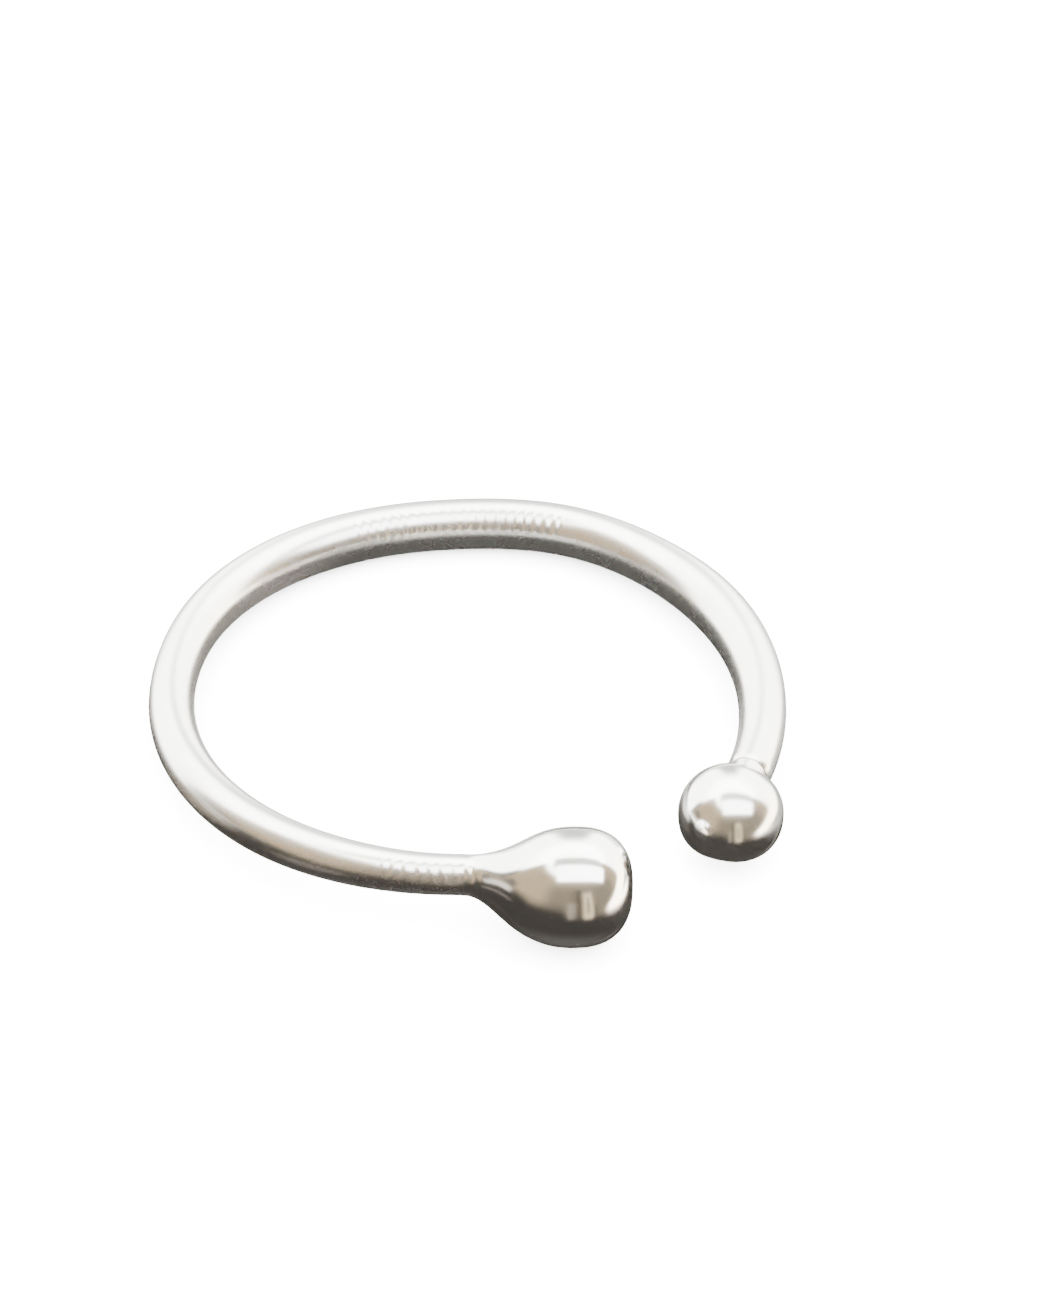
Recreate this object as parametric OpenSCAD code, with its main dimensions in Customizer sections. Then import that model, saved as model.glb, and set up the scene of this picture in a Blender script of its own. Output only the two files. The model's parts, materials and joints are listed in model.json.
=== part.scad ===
// An open finger ring in one soldered piece. A round wire tapers both ways from the back of the
// hoop. One end is drawn out into a blunt drop, and the other is soldered to a small ball.
// The ring lies as it rests on a table: +Z is up, the drop and the ball face -Y, and the origin
// is on the table under the middle of the ring.

/* [Finger] */
// Width of the finger hole from front to back, the ring's size
finger_d = 16.8; // [15.6:0.1:19.2]

/* [Wire] */
// Thickness of the wire at the back of the hoop
wire_d = 1.7; // [1.4:0.05:2]
// Degrees round the finger from the drop's neck to the soldered end of the wire
hoop_turn = 295.4; // [280:0.2:300]

/* [Drop] */
// Thickness of the drop at its widest place
drop_d = 3.62; // [2.6:0.02:4]
// Length of the drop from the start of its neck to the tip
drop_len = 5.38; // [4.6:0.02:6.4]
// Length of the blunt nose past the widest place
drop_nose = 1.78; // [1.4:0.02:2.2]
// How far the middle of the drop is set out from the finger, past the middle of the wire
drop_out = 0.57; // [0:0.01:0.8]

/* [Ball] */
// Width of the ball across the wire
ball_d = 3.22; // [2.4:0.02:3.6]
// Height of the ball's top above the middle of the wire
ball_top = 1.46; // [1.1:0.02:1.7]
// Depth of the ball's underside below the middle of the wire
ball_foot = 1.36; // [1.1:0.02:1.7]
// Length of the ball from its middle to the end that faces the drop
ball_nose = 1.7; // [1.3:0.02:1.9]
// Length of the ball from its middle back to the wire
ball_back = 1.56; // [1.2:0.02:1.8]
// Distance from the end of the wire to the middle of the ball
ball_reach = 2.2; // [1.9:0.02:2.4]
// Thickness of the soldered neck between the wire and the ball
solder_d = 1.1; // [0.8:0.05:1.2]

/* [Hidden] */

// How the wire is bent by hand, in steps of 20 degrees round the finger from the drop's neck:
// [degrees round, millimetres out from the hoop's circle, thickness as a share of wire_d]
bends = [
  [  0, -0.05,  0.7],
  [ 20, -0.05,  0.8],
  [ 40,  0.05, 0.85],
  [ 60,  0.05, 0.85],
  [ 80,     0, 0.85],
  [100, -0.05, 0.85],
  [120,  0.15, 0.95],
  [140,  0.15,    1],
  [160,  0.05,    1],
  [180, -0.05,    1],
  [200,   0.3,    1],
  [220,  0.05,    1],
  [240,     0, 1.08],
  [260,     0, 0.97],
  [280,   0.2, 0.86],
  [300,  0.65, 0.82],
  [320,  1.05, 0.78],
  [340,   1.9, 0.75]
];
OUT = 1;
SHARE = 2;
bend_step = bends[1][0] - bends[0][0];

// Radius of the hoop's circle, at the middle of the wire
hoop_r = (finger_d + wire_d) / 2;
// Degrees round at which the wire runs into the drop, and at which the back rests on the table
neck_turn = 1.7;
rest_turn = 173;
// Lengths along the drop: the plain start of its neck, the run over which it is set out,
// and the distance to the widest place
neck_len = 0.36;
set_out_len = 2.4;
widest_at = drop_len - drop_nose;
// How far the tip leans back towards the finger
tip_lean = 0.1;
// Fullness of a curve, where 2 is an ellipse and more is blunter: plain round wire, the drop's
// nose, and the underside of the ball, which sagged as it melted
ROUND = 2;
drop_fullness = 2.5;
ball_sag = 2.5;
// How fast the drop swells from its neck, and how late it starts
swell_top = 2.3;
swell_foot = 2.2;
// The end of the wire is filed round: the length of its edge, how much of its thickness is
// left there, and the length at which it runs into the solder
end_edge = 0.15;
end_share = 0.94;
end_len = 0.3;

// How finely the skin is cut, and the half span over which the wire's direction is taken
way_span = 0.5;
sides = 28;
hoop_step = 3;
drop_rings = 24;
nose_rings = 10;
ball_rings = 18;

function unit(v) = v / norm(v);
function beside(v) = [v.y, -v.x];

// A smooth curve through a column of the bends, level where the wire meets the drop
function row(i) = bends[min(abs(i), len(bends) - 1)];
function blend(t) = [
  pow(1 - t, 3),
  3 * pow(t, 3) - 6 * t * t + 4,
  -3 * pow(t, 3) + 3 * t * t + 3 * t + 1,
  pow(t, 3)
] / 6;
function smooth(turn, column) =
  let (place = turn / bend_step, i = floor(place))
  blend(place - i) * [for (k = [-1:2]) row(i + k)[column]];

// The middle of the wire, its radius and the way it runs, from the drop round to the ball
function wire_mid(turn) =
  (hoop_r + smooth(turn, OUT)) * [cos(-90 - turn), sin(-90 - turn)];
function wire_r(turn) = wire_d / 2 * smooth(turn, SHARE);
function wire_way(turn) = unit(wire_mid(turn + way_span) - wire_mid(turn - way_span));

// The share of a half width that a round curve reaches, made fuller
function full(share, fullness) = sign(share) * pow(abs(share), 2 / fullness);
function ease(t) = let (s = min(max(t, 0), 1)) s - sin(360 * s) / (2 * PI);

drop_way = -wire_way(neck_turn);
neck_r = wire_r(neck_turn);
function drop_mid(x) =
  wire_mid(neck_turn) + x * drop_way
  + beside(drop_way) * (drop_out * ease(x / set_out_len) - tip_lean * pow(x / drop_len, 2));
function swell(t) = pow(1 - pow(1 - t, swell_top), swell_foot);
function nose(along) = pow(max(0, 1 - pow(along, drop_fullness)), 1 / drop_fullness);
function drop_r(x) =
  x > widest_at ? drop_d / 2 * nose((x - widest_at) / drop_nose)
  : x > neck_len ? neck_r + (drop_d / 2 - neck_r) * swell((x - neck_len) / (widest_at - neck_len))
  : neck_r;
drop_stops = concat(
  [for (k = [1:nose_rings]) widest_at + drop_nose * cos(90 * k / nose_rings)],
  [for (k = [1:drop_rings - 1]) widest_at * (1 - k / drop_rings)]
);

// Each section is [middle, way, half width, height above the middle, depth below it, fullness of
// its underside], square to its way
function round_section(mid, way, r) = [mid, way, r, r, r, ROUND];
drop_sections = [for (x = drop_stops) round_section(drop_mid(x), -drop_way, drop_r(x))];

hoop_stops = [for (turn = [neck_turn:hoop_step:hoop_turn - hoop_step / 2]) turn];
hoop_sections = [
  for (turn = concat(hoop_stops, [hoop_turn]))
    round_section(wire_mid(turn), wire_way(turn), wire_r(turn))
];

ball_way = wire_way(hoop_turn);
function ball_mid(x) = wire_mid(hoop_turn) + x * ball_way;
end_r = end_share * wire_r(hoop_turn);
end_sections = [
  round_section(ball_mid(end_edge), ball_way, end_r),
  round_section(ball_mid(end_len), ball_way, solder_d / 2)
];
// The ball starts where its skin comes out of the solder
ball_start = asin(solder_d / ball_d);
function ball_along(a) = -cos(a) * (a < 90 ? ball_back : ball_nose);
ball_sections = [
  for (k = [0:ball_rings - 1])
    let (a = ball_start + (180 - ball_start) * k / ball_rings)
    [
      ball_mid(ball_reach + ball_along(a)), ball_way,
      sin(a) * ball_d / 2, sin(a) * ball_top, sin(a) * ball_foot, ball_sag
    ]
];

sections = concat(drop_sections, hoop_sections, end_sections, ball_sections);
tips = [drop_mid(drop_len), ball_mid(ball_reach + ball_nose)];

function section_points(s) = [
  for (k = [0:sides - 1])
    let (
      a = 360 * k / sides,
      height = a > 180 ? s[4] : s[3],
      fullness = a > 180 ? s[5] : ROUND,
      p = s[0] + s[2] * full(cos(a), fullness) * beside(s[1])
    )
    [p.x, p.y, height * full(sin(a), fullness)]
];
flat_points = concat(
  [[tips[0].x, tips[0].y, 0]],
  [for (s = sections) each section_points(s)],
  [[tips[1].x, tips[1].y, 0]]
);

// The drop and the back of the hoop rest on the table, so the hoop rises towards the drop
rest_line = drop_mid(widest_at) - wire_mid(rest_turn);
rest_tilt = asin((drop_d / 2 - wire_r(rest_turn)) / norm(rest_line));
rise_way = unit([rest_line.x, rest_line.y, 0]);
level_way = [-rise_way.y, rise_way.x, 0];
function tilted(p) =
  let (along = p * rise_way)
  rise_way * (along * cos(rest_tilt) - p.z * sin(rest_tilt))
  + level_way * (p * level_way)
  + [0, 0, along * sin(rest_tilt) + p.z * cos(rest_tilt)];
tilted_points = [for (p = flat_points) tilted(p)];
function column(points, i) = [for (p = points) p[i]];
function middle(points, i) = (min(column(points, i)) + max(column(points, i))) / 2;
table_spot = [middle(tilted_points, 0), middle(tilted_points, 1), min(column(tilted_points, 2))];

module ring() {
  last = len(flat_points) - 1;
  rings = len(sections);
  skin = [
    for (r = [0:rings - 2], k = [0:sides - 1])
      let (a = 1 + r * sides + k, b = 1 + r * sides + (k + 1) % sides)
      each [[a, b, a + sides], [b, b + sides, a + sides]]
  ];
  drop_tip = [for (k = [0:sides - 1]) [0, 1 + (k + 1) % sides, 1 + k]];
  ball_tip = [
    for (k = [0:sides - 1])
      [last, last - sides + k, last - sides + (k + 1) % sides]
  ];
  color("silver")
    polyhedron([for (p = tilted_points) p - table_spot], concat(skin, drop_tip, ball_tip));
}

ring();
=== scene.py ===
"""An open finger ring of tapered round silver wire, drawn out into a drop at one end and soldered
to a small bead at the other, polished by hand. Lengths are in millimetres until they are laid."""

import json
import math

import bpy
from mathutils import Matrix, Vector


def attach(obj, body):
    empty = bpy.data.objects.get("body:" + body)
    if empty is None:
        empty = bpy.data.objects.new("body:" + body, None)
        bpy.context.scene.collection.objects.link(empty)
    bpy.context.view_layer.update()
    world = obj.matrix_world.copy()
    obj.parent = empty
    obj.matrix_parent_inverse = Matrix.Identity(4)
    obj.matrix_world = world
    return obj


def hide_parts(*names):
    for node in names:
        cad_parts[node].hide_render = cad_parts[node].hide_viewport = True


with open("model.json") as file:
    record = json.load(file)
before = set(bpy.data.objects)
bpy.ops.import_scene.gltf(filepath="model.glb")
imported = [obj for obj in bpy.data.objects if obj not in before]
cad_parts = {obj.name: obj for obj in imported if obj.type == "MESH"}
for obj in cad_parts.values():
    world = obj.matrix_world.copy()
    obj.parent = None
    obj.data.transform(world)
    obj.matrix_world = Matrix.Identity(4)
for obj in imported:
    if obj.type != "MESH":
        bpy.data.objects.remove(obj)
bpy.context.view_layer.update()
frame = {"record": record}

MM = 0.001

# The wire: the width of the finger hole, its thickness at the back of the hoop, where the drop's
# neck and the soldered end lie in degrees round the finger, and the half span in degrees over
# which its direction is taken
FINGER_D = 16.8
WIRE_D = 1.7
HOOP_R = (FINGER_D + WIRE_D) / 2
NECK_TURN = 1.7
HOOP_TURN = 295.4
WAY_SPAN = 0.5

# How the wire is bent by hand, every 20 degrees round the finger from the drop's neck:
# (millimetres out from the hoop's circle, thickness as a share of WIRE_D)
BEND_STEP = 20.0
BENDS = [
    (-0.05, 0.70), (-0.05, 0.80), (0.05, 0.85), (0.05, 0.85), (0.00, 0.85), (-0.05, 0.85),
    (0.15, 0.95), (0.15, 1.00), (0.05, 1.00), (-0.05, 1.00), (0.30, 1.00), (0.05, 1.00),
    (0.00, 1.08), (0.00, 0.97), (0.20, 0.86), (0.65, 0.82), (1.05, 0.78), (1.90, 0.75),
]
OUT, SHARE = 0, 1

# The drop: its thickness, its length and that of its blunt nose, how far it is set out from the
# finger and over what length, the plain start of its neck, how far its tip leans back, and how
# fast it swells from its neck and how late it starts to
DROP_D = 3.62
DROP_LEN = 5.38
DROP_NOSE = 1.78
DROP_WIDEST = DROP_LEN - DROP_NOSE
DROP_OUT = 0.57
DROP_SET_OUT = 2.4
DROP_NECK = 0.36
TIP_LEAN = 0.1
SWELL_TOP, SWELL_FOOT = 2.3, 2.2

# The end of the wire, filed round: the length of its rounding, and the share of the radius that
# it takes off at the sides and on top, where the wire runs on into the solder
END_LEN = 0.3
END_ROUNDING = 0.17
END_TOP_ROUNDING = 0.04

# The bead: its width, how far its top and its underside lie from the middle of the wire, its
# lengths towards the drop and back to the wire, and how far its middle is from the wire's end
BALL_D = 3.22
BALL_TOP = 1.46
BALL_FOOT = 1.36
BALL_NOSE = 1.7
BALL_BACK = 1.56
BALL_REACH = 2.2

# The solder between them: its thickness, how far it reaches into the wire and into the bead, the
# share by which it widens at both ends, and the height of its top, just under the wire's own
SOLDER_D = 1.1
COLLAR_IN_WIRE, COLLAR_IN_BEAD = 0.16, 0.26
COLLAR_START = END_LEN - COLLAR_IN_WIRE
COLLAR_END = BALL_REACH - BALL_BACK + COLLAR_IN_BEAD
COLLAR_FLARE = 0.12
COLLAR_TOP = 0.667

# Fullness of a curve, where 2 is an ellipse and more is blunter: plain round wire, the nose of
# the drop, and the underside of the bead, which sagged as it melted
ROUND = 2
DROP_FULLNESS = 2.5
BALL_SAG = 2.5

# How finely the skins are cut
BAND_SIDES = 128
BAND_STEP = 0.12
DROP_RINGS = 90
NOSE_RINGS = 90
BEAD_SIDES = 96
BEAD_RINGS = 72
COLLAR_SIDES = 48
COLLAR_RINGS = 16
END_RINGS = 10

# The map of each skin, which holds the lengths along it and round it
UV_MAP = "along_and_round"


def unit(v):
    return v / v.length


def beside(v):
    """The level direction square to v, away from the finger."""
    return Vector((v.y, -v.x))


def bend(i, column):
    """A value of the bends, mirrored before the first and held past the last."""
    return BENDS[min(abs(i), len(BENDS) - 1)][column]


def smooth(turn, column):
    """A smooth curve through one column of the bends."""
    place = turn / BEND_STEP
    i = math.floor(place)
    t = place - i
    blend = (
        (1 - t) ** 3,
        3 * t ** 3 - 6 * t * t + 4,
        -3 * t ** 3 + 3 * t * t + 3 * t + 1,
        t ** 3,
    )
    return sum(b * bend(i - 1 + k, column) for k, b in enumerate(blend)) / 6


def wire_mid(turn):
    angle = math.radians(-90 - turn)
    return (HOOP_R + smooth(turn, OUT)) * Vector((math.cos(angle), math.sin(angle)))


def wire_r(turn):
    return WIRE_D / 2 * smooth(turn, SHARE)


def wire_way(turn):
    return unit(wire_mid(turn + WAY_SPAN) - wire_mid(turn - WAY_SPAN))


DROP_WAY = -wire_way(NECK_TURN)
BALL_WAY = wire_way(HOOP_TURN)


def full(share, fullness):
    """The share of a half width that a round curve reaches, made fuller."""
    return math.copysign(abs(share) ** (2 / fullness), share)


def ease(t):
    """From 0 to 1, level at both ends."""
    s = min(max(t, 0), 1)
    return s - math.sin(2 * math.pi * s) / (2 * math.pi)


def drop_mid(x):
    aside = DROP_OUT * ease(x / DROP_SET_OUT) - TIP_LEAN * (x / DROP_LEN) ** 2
    return wire_mid(NECK_TURN) + x * DROP_WAY + aside * beside(DROP_WAY)


def drop_r(x):
    neck = wire_r(NECK_TURN)
    if x > DROP_WIDEST:
        along = min(1, (x - DROP_WIDEST) / DROP_NOSE)
        return DROP_D / 2 * (1 - along ** DROP_FULLNESS) ** (1 / DROP_FULLNESS)
    if x > DROP_NECK:
        t = (x - DROP_NECK) / (DROP_WIDEST - DROP_NECK)
        return neck + (DROP_D / 2 - neck) * (1 - (1 - t) ** SWELL_TOP) ** SWELL_FOOT
    return neck


def ball_mid(x):
    return wire_mid(HOOP_TURN) + x * BALL_WAY


# The finger mount says where the middle of the hoop lies and how far the ring tilts at rest
finger = next(m for m in frame["record"]["mounts"] if m["name"] == "finger")
hoop_middle = Vector(finger["pos_m"])
tilt = Vector((0, 0, 1)).rotation_difference(Vector(finger["axis"]))


def laid(point):
    """A point of the level ring, in millimetres, as it lies on the table, in metres."""
    return tilt @ (Vector(point) * MM) + hoop_middle


def placed(name, data):
    """A new object in the scene."""
    thing = bpy.data.objects.new(name, data)
    bpy.context.scene.collection.objects.link(thing)
    return thing


def skin(name, sections, sides, tips):
    """A closed skin through sections (middle, way, half width, height above, depth below,
    fullness of the underside), with a tip at each end."""
    points = [laid((tips[0].x, tips[0].y, 0))]
    for mid, way, half_w, above, below, sag in sections:
        out = beside(way)
        for k in range(sides):
            a = 2 * math.pi * k / sides
            height, fullness = (below, sag) if a > math.pi else (above, ROUND)
            p = mid + half_w * full(math.cos(a), fullness) * out
            points.append(laid((p.x, p.y, height * full(math.sin(a), fullness))))
    points.append(laid((tips[1].x, tips[1].y, 0)))
    last = len(points) - 1
    faces = []
    for k in range(sides):
        n = (k + 1) % sides
        faces.append((0, 1 + n, 1 + k))
    for r in range(len(sections) - 1):
        for k in range(sides):
            a = 1 + r * sides + k
            b = 1 + r * sides + (k + 1) % sides
            faces.append((a, b, b + sides, a + sides))
    for k in range(sides):
        n = (k + 1) % sides
        faces.append((last, last - sides + k, last - sides + n))
    mesh = bpy.data.meshes.new(name)
    mesh.from_pydata(points, [], faces)
    mesh.shade_smooth()
    lay_uv(mesh, sections, sides, tips)
    return placed(name, mesh)


def lay_uv(mesh, sections, sides, tips):
    """U runs along the piece in millimetres. V runs once round it, over the wire's girth."""
    middles = [tips[0]] + [s[0] for s in sections] + [tips[1]]
    along = [0.0]
    for a, b in zip(middles, middles[1:]):
        along.append(along[-1] + (b - a).length)
    girth = math.pi * WIRE_D
    uv = mesh.uv_layers.new(name=UV_MAP)
    rings = len(sections)
    for face in mesh.polygons:
        ks = [(v - 1) % sides for v in face.vertices if 0 < v <= rings * sides]
        wraps = max(ks) - min(ks) > sides / 2
        for loop in face.loop_indices:
            v = mesh.loops[loop].vertex_index
            if v == 0 or v > rings * sides:
                u = along[0] if v == 0 else along[-1]
                k = sum(ks) / len(ks)
            else:
                u = along[1 + (v - 1) // sides]
                k = (v - 1) % sides
                if wraps and k == 0:
                    k = sides
            uv.data[loop].uv = (u, girth * k / sides)


def round_section(mid, way, r):
    return (mid, way, r, r, r, ROUND)


def band_and_drop():
    """The wire and its drawn-out drop, one piece of metal with no seam."""
    nose = [
        DROP_WIDEST + DROP_NOSE * math.cos(math.pi / 2 * k / NOSE_RINGS)
        for k in range(1, NOSE_RINGS + 1)
    ]
    swell = [DROP_WIDEST * (1 - k / DROP_RINGS) for k in range(1, DROP_RINGS)]
    sections = [round_section(drop_mid(x), -DROP_WAY, drop_r(x)) for x in nose + swell]
    step = math.degrees(BAND_STEP / HOOP_R)
    count = round((HOOP_TURN - NECK_TURN) / step)
    for i in range(count + 1):
        turn = NECK_TURN + (HOOP_TURN - NECK_TURN) * i / count
        sections.append(round_section(wire_mid(turn), wire_way(turn), wire_r(turn)))
    for k in range(1, END_RINGS + 1):
        t = k / END_RINGS
        r = wire_r(HOOP_TURN) * (1 - END_ROUNDING * t * t)
        above = wire_r(HOOP_TURN) * (1 - END_TOP_ROUNDING * t * t)
        sections.append((ball_mid(END_LEN * t), BALL_WAY, r, above, r, ROUND))
    tips = (drop_mid(DROP_LEN), ball_mid(END_LEN + COLLAR_IN_WIRE / 2))
    return skin("band_and_drop", sections, BAND_SIDES, tips)


def end_bead():
    """The bead at the other end."""
    sections = []
    for k in range(1, BEAD_RINGS):
        a = math.pi * k / BEAD_RINGS
        along = -math.cos(a) * (BALL_BACK if a < math.pi / 2 else BALL_NOSE)
        share = math.sin(a)
        sizes = (share * BALL_D / 2, share * BALL_TOP, share * BALL_FOOT)
        sections.append((ball_mid(BALL_REACH + along), BALL_WAY, *sizes, BALL_SAG))
    tips = (ball_mid(BALL_REACH - BALL_BACK), ball_mid(BALL_REACH + BALL_NOSE))
    return skin("end_bead", sections, BEAD_SIDES, tips)


def solder_collar():
    """The solder that has run between the end of the wire and the bead."""
    sections = []
    for k in range(COLLAR_RINGS + 1):
        t = k / COLLAR_RINGS
        x = COLLAR_START + (COLLAR_END - COLLAR_START) * t
        r = SOLDER_D / 2 * (1 + COLLAR_FLARE * (2 * t - 1) ** 2)
        sections.append((ball_mid(x), BALL_WAY, r, COLLAR_TOP, r, ROUND))
    tips = (ball_mid(COLLAR_START), ball_mid(COLLAR_END))
    return skin("solder_collar", sections, COLLAR_SIDES, tips)


class Nodes:
    """A shader tree under construction."""

    def __init__(self, tree):
        self.tree = tree

    def add(self, kind, **settings):
        node = self.tree.nodes.new(kind)
        for key, value in settings.items():
            setattr(node, key, value)
        return node

    def feed(self, socket, value):
        """A link from another node's socket, or else a plain number or colour."""
        if isinstance(value, bpy.types.NodeSocket):
            self.tree.links.new(value, socket)
        elif socket.type == "RGBA":
            socket.default_value = (*value, 1)
        else:
            socket.default_value = value

    def group(self, tree, *values):
        node = self.add("ShaderNodeGroup", node_tree=tree)
        for socket, value in zip(node.inputs, values):
            self.feed(socket, value)
        return node.outputs

    def show(self, surface, kind="ShaderNodeOutputMaterial"):
        self.feed(self.add(kind).inputs["Surface"], surface)

    def math(self, operation, *values):
        node = self.add("ShaderNodeMath", operation=operation)
        for socket, value in zip(node.inputs, values):
            self.feed(socket, value)
        return node.outputs[0]

    def reverse(self, mask):
        return self.math("SUBTRACT", 1.0, mask)

    def parts(self, vector):
        node = self.add("ShaderNodeSeparateXYZ")
        self.feed(node.inputs[0], vector)
        return node.outputs

    def place(self, x, y):
        node = self.add("ShaderNodeCombineXYZ")
        self.feed(node.inputs[0], x)
        self.feed(node.inputs[1], y)
        return node.outputs[0]

    def noise(self, place, scale, detail):
        node = self.add("ShaderNodeTexNoise")
        node.inputs["Scale"].default_value = scale
        node.inputs["Detail"].default_value = detail
        self.feed(node.inputs["Vector"], place)
        return node.outputs[0]

    def ramp(self, value, low, high):
        """0 below low and 1 above high, smoothly."""
        node = self.add("ShaderNodeMapRange", interpolation_type="SMOOTHSTEP")
        self.feed(node.inputs["Value"], value)
        self.feed(node.inputs["From Min"], low)
        self.feed(node.inputs["From Max"], high)
        return node.outputs[0]

    def mix(self, share, a, b):
        node = self.add("ShaderNodeMix", data_type="RGBA")
        self.feed(node.inputs["Factor"], share)
        self.feed(node.inputs["A"], a)
        self.feed(node.inputs["B"], b)
        return node.outputs["Result"]


def empty_tree(owner):
    """The shader tree of a new material or world, with nothing in it yet."""
    owner.use_nodes = True
    owner.node_tree.nodes.clear()
    return owner.node_tree


def new_group(name, inputs, outputs):
    """A new shader group with these numbers going in and coming out."""
    tree = bpy.data.node_groups.new(name, "ShaderNodeTree")
    for in_out, sockets in (("INPUT", inputs), ("OUTPUT", outputs)):
        for socket in sockets:
            tree.interface.new_socket(socket, in_out=in_out, socket_type="NodeSocketFloat")
    n = Nodes(tree)
    return n, n.add("NodeGroupInput").outputs, n.add("NodeGroupOutput").inputs


def panel_group():
    """A soft-edged oblong: 1 inside, 0 outside."""
    inputs = ("Across", "Up", "Left", "Right", "Foot", "Top", "Side Edge", "Foot Edge")
    n, given, result = new_group("soft_panel", inputs, ["Mask"])

    def inside(value, low, high, edge):
        low_in = n.ramp(value, n.math("SUBTRACT", low, edge), n.math("ADD", low, edge))
        high_out = n.ramp(value, n.math("SUBTRACT", high, edge), n.math("ADD", high, edge))
        return n.math("MULTIPLY", low_in, n.reverse(high_out))

    across = inside(given["Across"], given["Left"], given["Right"], given["Side Edge"])
    up = inside(given["Up"], given["Foot"], given["Top"], given["Foot Edge"])
    n.feed(result["Mask"], n.math("MULTIPLY", across, up))
    return n.tree


# The light (red, green, blue) of each thing that the metal mirrors
WHITE_CLOTH = (8.2, 8.2, 7.5)
CLOTH_ABOVE = (12.0, 12.0, 11.8)
CLOTH_BEHIND = (1.4, 1.41, 1.36)
FLOOR_LEFT = (0.19, 0.175, 0.155)
BEIGE_WALL = (0.88, 0.67, 0.42)
WALL_SHADE = (0.42, 0.345, 0.25)
WALL_GAP = (0.26, 0.22, 0.18)
PALE_STRIPE = (1.8, 1.7, 1.5)
DARK_PANEL = (0.11, 0.1, 0.09)
DOOR_EDGE = (0.1, 0.084, 0.066)
DOOR_FRAME = (0.8, 0.67, 0.54)
PALE_DOOR = (1.6, 1.3, 0.86)
DOOR_SHADE = (0.21, 0.175, 0.13)
TABLE_EDGE = (10.5, 9.3, 7.4)
TABLE_DARK = (0.068, 0.061, 0.055)
UNDER_RING = (0.135, 0.128, 0.116)
GREY_STRIP = (1.6, 1.62, 1.45)
SOFTBOX = (9.5, 9.5, 9.5)
# The light that falls on the table and that the camera sees past it
PLAIN_WHITE = (30.0, 30.0, 29.8)

# What stands round the table, each painted over the last, in degrees round from the viewer and
# up from the ring: (light, left, right, foot, top, softness of the sides, softness of the foot
# and the top, rise of the foot and the top to the right)
ROOM = [
    (FLOOR_LEFT, -400, -90, -38, 200, 10, 14, 0),
    (WHITE_CLOTH, -400, -90, -15, 200, 10, 11, 0),
    (WHITE_CLOTH, 70, 400, -21, 200, 10, 20, 0),
    (WHITE_CLOTH, -400, 400, 10, 200, 1, 5, 0),
    (CLOTH_ABOVE, 90, 400, 46, 76, 15, 12, 0),
    (CLOTH_ABOVE, -400, -85, 46, 76, 15, 12, 0),
    (CLOTH_BEHIND, 146, 400, -31, 0, 8, 9, 0),
    (CLOTH_BEHIND, -400, -150, -33, 0, 8, 9, 0),
    (CLOTH_BEHIND, 171, 400, -31, 34, 6, 15, 0),
    (CLOTH_BEHIND, -400, -172, -33, 34, 6, 15, 0),
    (DARK_PANEL, -103, -94, -8, 30, 2.5, 8, 0),
    (BEIGE_WALL, -98, 99, -140, 57, 4, 5, -0.03),
    (WALL_SHADE, -32, 75, -140, 44, 12, 16, 0),
    (TABLE_DARK, -97, -6, -140, -6, 5, 22, 0),
    (TABLE_EDGE, 50, 125, -200, -25, 11, 5, 0.375),
    (TABLE_DARK, -100, 122, -140, -14, 8, 10, -0.15),
    (TABLE_DARK, -90, -55, -140, 0, 8, 16, 0),
    (WALL_GAP, -93, -80, 9, 18, 4, 4, 0),
    (PALE_STRIPE, -100, -79, -4, 6, 4, 3, 0),
    (DOOR_EDGE, 2, 7.5, -17, 35, 2, 5, 0),
    (DOOR_FRAME, -3, 1.5, -23, 12, 2, 6, 0),
    (PALE_DOOR, 9, 24, -23, 31, 3, 6, 0),
    (DOOR_SHADE, 15, 17, -10, 20, 2, 6, 0),
    (DOOR_SHADE, 27, 31, -18, 6, 2, 6, 0),
    (UNDER_RING, -400, 400, -200, -68, 1, 16, 0),
]
# What hangs over the table, in a plane that leans towards the viewer, as shares of its height
# across and towards the back: (light, left, right, near end, far end, softness of the sides,
# softness of the ends). The height is never taken as less than the least one.
LEAN = 0.53
LEAST_HEIGHT = 0.05
CEILING = [
    (GREY_STRIP, -0.35, 0.75, -0.12, 0.18, 0.06, 0.05),
    (SOFTBOX, -0.28, 0.87, -0.55, -0.08, 0.05, 0.04),
]
# Lights are blended as powers of two of this one, so that soft edges look even
FAINTEST = 1 / 256


def stops(light):
    return tuple(math.log2(c / FAINTEST) for c in light)


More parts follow.
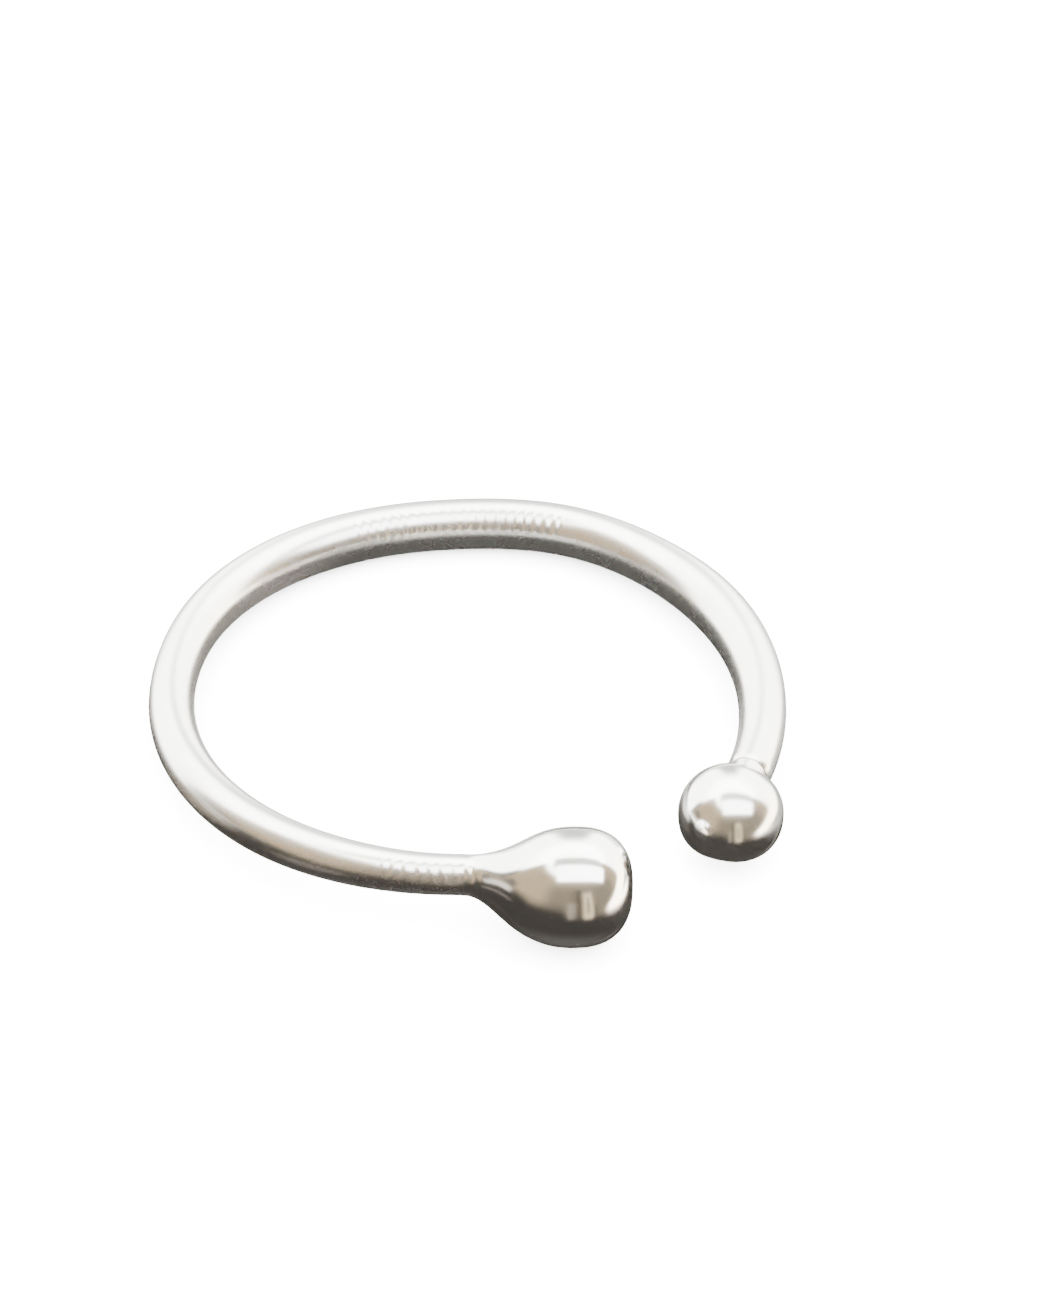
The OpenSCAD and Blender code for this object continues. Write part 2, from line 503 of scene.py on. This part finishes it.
def studio():
    """A white studio that only the metal mirrors. The table and its light are plain white."""
    world = bpy.data.worlds.new("white_studio")
    bpy.context.scene.world = world
    # Otherwise rough metal mirrors the plain white instead of the studio
    world.cycles.sampling_method = "NONE"
    n = Nodes(empty_tree(world))
    x, y, z = n.parts(n.add("ShaderNodeTexCoord").outputs["Generated"])
    turn = n.math("DEGREES", n.math("ARCTAN2", x, n.math("MULTIPLY", y, -1.0)))
    rise = n.math("DEGREES", n.math("ARCSINE", z))
    height = n.math("MAXIMUM", n.math("MULTIPLY_ADD", y, -LEAN, z), LEAST_HEIGHT)
    over_x = n.math("DIVIDE", x, height)
    over_y = n.math("DIVIDE", y, height)
    overhead = n.math("GREATER_THAN", z, 0.0)
    panel = panel_group()
    room = stops(TABLE_DARK)
    for light, *edges, slope in ROOM:
        up = n.math("MULTIPLY_ADD", turn, -slope, rise)
        mask = n.group(panel, turn, up, *edges)["Mask"]
        room = n.mix(mask, room, stops(light))
    for light, *edges in CEILING:
        mask = n.group(panel, over_x, over_y, *edges)["Mask"]
        room = n.mix(n.math("MULTIPLY", mask, overhead), room, stops(light))
    mirrored = n.add("ShaderNodeCombineXYZ")
    for stop, socket in zip(n.parts(room), mirrored.inputs):
        n.feed(socket, n.math("MULTIPLY", n.math("POWER", 2.0, stop), FAINTEST))
    ray = n.add("ShaderNodeLightPath")
    back = n.add("ShaderNodeBackground")
    seen = n.mix(ray.outputs["Is Glossy Ray"], PLAIN_WHITE, mirrored.outputs[0])
    n.feed(back.inputs["Color"], seen)
    n.show(back.outputs[0], "ShaderNodeOutputWorld")


# How silver reflects where it is clean, where polish has left it greyer, and where it is tarnished
BRIGHT_SILVER = (0.96, 0.955, 0.94)
GREYER_SILVER = (0.92, 0.915, 0.895)
TARNISHED_SILVER = (0.42, 0.39, 0.34)

# Roughness of the polished drop, of the bead and of the solder, and what is added to it by satin,
# by greyer patches and by pits
DROP_ROUGHNESS = 0.14
BEAD_ROUGHNESS = 0.16
SOLDER_ROUGHNESS = 0.22
SATIN_ROUGHER = 0.11
PATCH_ROUGHER = 0.03
PIT_ROUGHER = 0.1

# Polishing scratches: their (length, width), how deep they are, and how much of that depth they
# have on the drop. Past its tip they fade in over a run of its length.
WIRE_SCRATCH = (1.6, 0.05)
BEAD_SCRATCH = (1.1, 0.06)
WIRE_SCRATCH_DEPTH = 0.0005
BEAD_SCRATCH_DEPTH = 0.0006
DROP_SCRATCH_SHARE = 0.3
SCRATCH_START, SCRATCH_FULL = 0.5, 2.0

# How far tarnish reaches from the joint on each piece, how strong it is on the solder, and how
# deep the solder's pits are
WIRE_TARNISHED = 0.16
BEAD_TARNISHED = 0.3
SOLDER_TARNISHED = 0.5
SOLDER_TARNISH_SHARE = 0.35
PIT_DEPTH = 0.01

# Marks across the wire where it was gripped and bent: how far apart they are and how deep, how
# unevenly they run, how far they spread round the wire, over what length they fade at each end,
# and where they are: the lengths from the tip of the drop between which they lie, and their
# middle round the wire
GRIP_PITCH = 0.35
GRIP_DEPTH = 0.016
GRIP_UNEVEN = 5.0
GRIP_SPREAD = 0.35
GRIP_FADE = 0.4
GRIPPED = [(4.4, 7.7, 2.0), (30.2, 38.0, 0.65)]
# The mirror polish of the drop gives way to the satin of the wire over this run from its tip
SATIN_START, SATIN_FULL = 3.9, 5.4


def scratch_group():
    """Fine polishing scratches that run one way: their height, and the patches they leave dull."""
    inputs = ("Along", "Round", "Length", "Width")
    n, given, result = new_group("polishing_scratches", inputs, ("Height", "Dullness"))
    place = n.place(
        n.math("DIVIDE", given["Along"], given["Length"]),
        n.math("DIVIDE", given["Round"], given["Width"]),
    )
    patches = n.noise(n.place(given["Along"], given["Round"]), scale=0.9, detail=2.0)
    n.feed(result["Height"], n.noise(place, scale=1.0, detail=2.0))
    n.feed(result["Dullness"], n.ramp(patches, low=0.35, high=0.65))
    return n.tree


def tarnish_group():
    """How tarnished silver is at a distance from the soldered joint, in uneven patches."""
    n, given, result = new_group("joint_tarnish", ("Distance", "Round", "Reach"), ["Mask"])
    patches = n.noise(n.place(given["Distance"], given["Round"]), scale=2.5, detail=3.0)
    reach = n.math("MULTIPLY", given["Reach"], n.math("MULTIPLY", patches, 2.0))
    n.feed(result["Mask"], n.reverse(n.ramp(given["Distance"], 0.0, reach)))
    return n.tree


SCRATCHES = scratch_group()
TARNISH = tarnish_group()


class Metal(Nodes):
    """A silver surface under construction, with the lengths along and round its piece."""

    def __init__(self, name):
        self.material = bpy.data.materials.new(name)
        super().__init__(empty_tree(self.material))
        self.shader = self.add("ShaderNodeBsdfPrincipled")
        self.shader.inputs["Metallic"].default_value = 1.0
        place = self.parts(self.add("ShaderNodeUVMap", uv_map=UV_MAP).outputs[0])
        self.along, self.round_it = place[0], place[1]

    def bump(self, height, depth, strength=1.0, under=None):
        """The surface's normals after marks of this depth, in millimetres, laid over others."""
        node = self.add("ShaderNodeBump")
        self.feed(node.inputs["Height"], height)
        self.feed(node.inputs["Strength"], strength)
        self.feed(node.inputs["Distance"], depth * MM)
        if under is not None:
            self.feed(node.inputs["Normal"], under)
        return node.outputs[0]

    def finish(self, colour, roughness, normal):
        self.feed(self.shader.inputs["Base Color"], colour)
        self.feed(self.shader.inputs["Roughness"], roughness)
        self.feed(self.shader.inputs["Normal"], normal)
        self.show(self.shader.outputs[0])
        return self.material


def grip_marks(m):
    """Uneven marks across the wire, only where it was gripped: their height, -1 to 1."""
    sway = m.noise(m.place(m.along, m.round_it), scale=1.1, detail=2.0)
    turns = m.math("MULTIPLY", m.along, 2 * math.pi / GRIP_PITCH)
    waves = m.math("SINE", m.math("MULTIPLY_ADD", sway, GRIP_UNEVEN, turns))
    gripped = 0.0
    for start, end, middle in GRIPPED:
        started = m.ramp(m.along, start, start + GRIP_FADE)
        ended = m.ramp(m.along, end - GRIP_FADE, end)
        here = m.math("MULTIPLY", started, m.reverse(ended))
        aside = m.math("ABSOLUTE", m.math("SUBTRACT", m.round_it, middle))
        facing = m.reverse(m.ramp(aside, GRIP_SPREAD / 2, GRIP_SPREAD * 1.5))
        gripped = m.math("MULTIPLY_ADD", here, facing, gripped)
    return m.math("MULTIPLY", waves, gripped)


def drawn_silver(wire_end):
    """The wire is rubbed to a satin along its length, and its drop is polished to a mirror."""
    m = Metal("drawn_silver")
    satin = m.ramp(m.along, SATIN_START, SATIN_FULL)
    scratches = m.group(SCRATCHES, m.along, m.round_it, *WIRE_SCRATCH)
    marks = m.bump(grip_marks(m), GRIP_DEPTH / 2)
    past_tip = m.ramp(m.along, SCRATCH_START, SCRATCH_FULL)
    on_drop = m.math("MULTIPLY", past_tip, DROP_SCRATCH_SHARE)
    strength = m.math("MULTIPLY_ADD", satin, 1 - DROP_SCRATCH_SHARE, on_drop)
    normal = m.bump(scratches["Height"], WIRE_SCRATCH_DEPTH, strength, marks)
    rougher = m.math("MULTIPLY_ADD", scratches["Dullness"], PATCH_ROUGHER, SATIN_ROUGHER)
    roughness = m.math("MULTIPLY_ADD", satin, rougher, DROP_ROUGHNESS)
    colour = m.mix(scratches["Dullness"], BRIGHT_SILVER, GREYER_SILVER)
    from_joint = m.math("SUBTRACT", wire_end, m.along)
    tarnish = m.group(TARNISH, from_joint, m.round_it, WIRE_TARNISHED)["Mask"]
    return m.finish(m.mix(tarnish, colour, TARNISHED_SILVER), roughness, normal)


def melted_silver():
    """The bead drew itself round as it melted, and was polished across with a cloth."""
    m = Metal("melted_silver")
    scratches = m.group(SCRATCHES, m.round_it, m.along, *BEAD_SCRATCH)
    normal = m.bump(scratches["Height"], BEAD_SCRATCH_DEPTH)
    roughness = m.math("MULTIPLY_ADD", scratches["Dullness"], PATCH_ROUGHER, BEAD_ROUGHNESS)
    colour = m.mix(scratches["Dullness"], BRIGHT_SILVER, GREYER_SILVER)
    tarnish = m.group(TARNISH, m.along, m.round_it, BEAD_TARNISHED)["Mask"]
    return m.finish(m.mix(tarnish, colour, TARNISHED_SILVER), roughness, normal)


def silver_solder():
    """Solder that was left as it ran, pitted and duller than the silver."""
    m = Metal("silver_solder")
    pits = m.noise(m.place(m.along, m.round_it), scale=9.0, detail=3.0)
    tarnish = m.group(TARNISH, m.along, m.round_it, SOLDER_TARNISHED)["Mask"]
    share = m.math("MULTIPLY", tarnish, SOLDER_TARNISH_SHARE)
    colour = m.mix(share, GREYER_SILVER, TARNISHED_SILVER)
    roughness = m.math("MULTIPLY_ADD", pits, PIT_ROUGHER, SOLDER_ROUGHNESS)
    return m.finish(colour, roughness, m.bump(pits, PIT_DEPTH))


# The floor: its paint, and half its width in metres
FLOOR_PAINT = (0.86, 0.86, 0.86)
FLOOR_HALF = 1.5

# Painted shade, and painted patches of light, under and beside the ring: they glow on the floor
# for the metal's mirror rays only, each laid over the last: (light, middle across, middle towards
# the back, half width, half depth, softness of its edge as a share of its half width)
TABLE_PAINTED_SHADE_AND_LIGHT = [
    ((0.13, 0.125, 0.115), 0.4, 6.2, 8.8, 4.2, 0.35),
    ((2.3, 2.3, 2.15), -3.0, 0.0, 5.0, 4.5, 0.4),
    ((0.34, 0.31, 0.28), -5.8, 4.6, 3.0, 3.2, 0.4),
    ((0.5, 0.42, 0.33), -15.0, -4.6, 5.0, 3.0, 0.3),
    ((0.26, 0.23, 0.2), -7.5, -10.5, 2.0, 1.8, 0.5),
    ((0.9, 0.9, 0.86), 15.5, 0.0, 4.5, 8.0, 0.35),
    ((1.6, 1.5, 1.3), -18.0, -5.5, 3.0, 2.4, 0.4),
    ((0.08, 0.073, 0.067), 7.0, -8.2, 2.4, 2.8, 0.4),
]
CLEAR = (1, 1, 1)
DARK = (0, 0, 0)


def table_paint():
    """Pale paint. Mirror rays see the studio through it, except where painted shade and light
    glow.
    """
    material = bpy.data.materials.new("pale_floor")
    n = Nodes(empty_tree(material))
    place = n.parts(n.add("ShaderNodeNewGeometry").outputs["Position"])
    through = CLEAR
    shade = DARK
    for light, x, y, half_x, half_y, softness in TABLE_PAINTED_SHADE_AND_LIGHT:
        across = n.math("DIVIDE", n.math("SUBTRACT", place[0], x * MM), half_x * MM)
        deep = n.math("DIVIDE", n.math("SUBTRACT", place[1], y * MM), half_y * MM)
        squares = n.math("ADD", n.math("MULTIPLY", across, across), n.math("MULTIPLY", deep, deep))
        cover = n.reverse(n.ramp(n.math("SQRT", squares), 1 - softness, 1 + softness))
        through = n.mix(cover, through, DARK)
        shade = n.mix(cover, shade, light)
    # For mirror rays the floor glows with the painted shade and painted light, and is clear
    # elsewhere
    look_through = n.add("ShaderNodeBsdfTransparent")
    n.feed(look_through.inputs["Color"], through)
    glow = n.add("ShaderNodeEmission")
    n.feed(glow.inputs["Color"], shade)
    mirrored = n.add("ShaderNodeAddShader")
    n.feed(mirrored.inputs[0], look_through.outputs[0])
    n.feed(mirrored.inputs[1], glow.outputs[0])
    paint = n.add("ShaderNodeBsdfDiffuse")
    n.feed(paint.inputs["Color"], FLOOR_PAINT)
    seen = n.add("ShaderNodeMixShader")
    n.feed(seen.inputs[0], n.add("ShaderNodeLightPath").outputs["Is Glossy Ray"])
    n.feed(seen.inputs[1], paint.outputs[0])
    n.feed(seen.inputs[2], mirrored.outputs[0])
    n.show(seen.outputs[0])
    return material


def table_top():
    """A pale floor, plain to the camera, with painted shade and light for the metal's mirror rays.
    """
    mesh = bpy.data.meshes.new("floor")
    signs = ((-1, -1), (1, -1), (1, 1), (-1, 1))
    corners = [(x * FLOOR_HALF, y * FLOOR_HALF, 0) for x, y in signs]
    mesh.from_pydata(corners, [], [(0, 1, 2, 3)])
    mesh.materials.append(table_paint())
    placed("floor", mesh)


# The camera, in millimetres and degrees: where it stands, how far it looks down and aside, how
# far it leans, and how wide its sensor is. Its lens length is in pixels of the photo, and the
# nearest and farthest places that it sees are in metres.
CAMERA_PLACE = (0.78, -99.72, 84.14)
LOOKS_DOWN = 38.947
LOOKS_ASIDE = 0.502
LEANS = 0.456
SENSOR = 36.0
LENS_PX = 4116.7
PHOTO_WIDTH = 1040
NEAREST, FARTHEST = 0.001, 20


def camera():
    data = bpy.data.cameras.new("camera")
    data.sensor_fit = "HORIZONTAL"
    data.sensor_width = SENSOR
    data.lens = SENSOR * LENS_PX / PHOTO_WIDTH
    data.clip_start = NEAREST
    data.clip_end = FARTHEST
    eye = placed("camera", data)
    turn = Matrix.Rotation(math.radians(-LOOKS_ASIDE), 4, "Z")
    down = Matrix.Rotation(math.radians(90 - LOOKS_DOWN), 4, "X")
    lean = Matrix.Rotation(math.radians(LEANS), 4, "Z")
    eye.matrix_world = Matrix.Translation(Vector(CAMERA_PLACE) * MM) @ turn @ down @ lean
    bpy.context.scene.camera = eye


def dress(piece, material):
    """Every piece is part of the one soldered solid."""
    piece.data.materials.append(material)
    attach(piece, "root")
    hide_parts("ring")


camera()
studio()
table_top()
band = band_and_drop()
wire_end = max(loop.uv.x for loop in band.data.uv_layers[UV_MAP].data)
dress(band, drawn_silver(wire_end))
dress(end_bead(), melted_silver())
dress(solder_collar(), silver_solder())
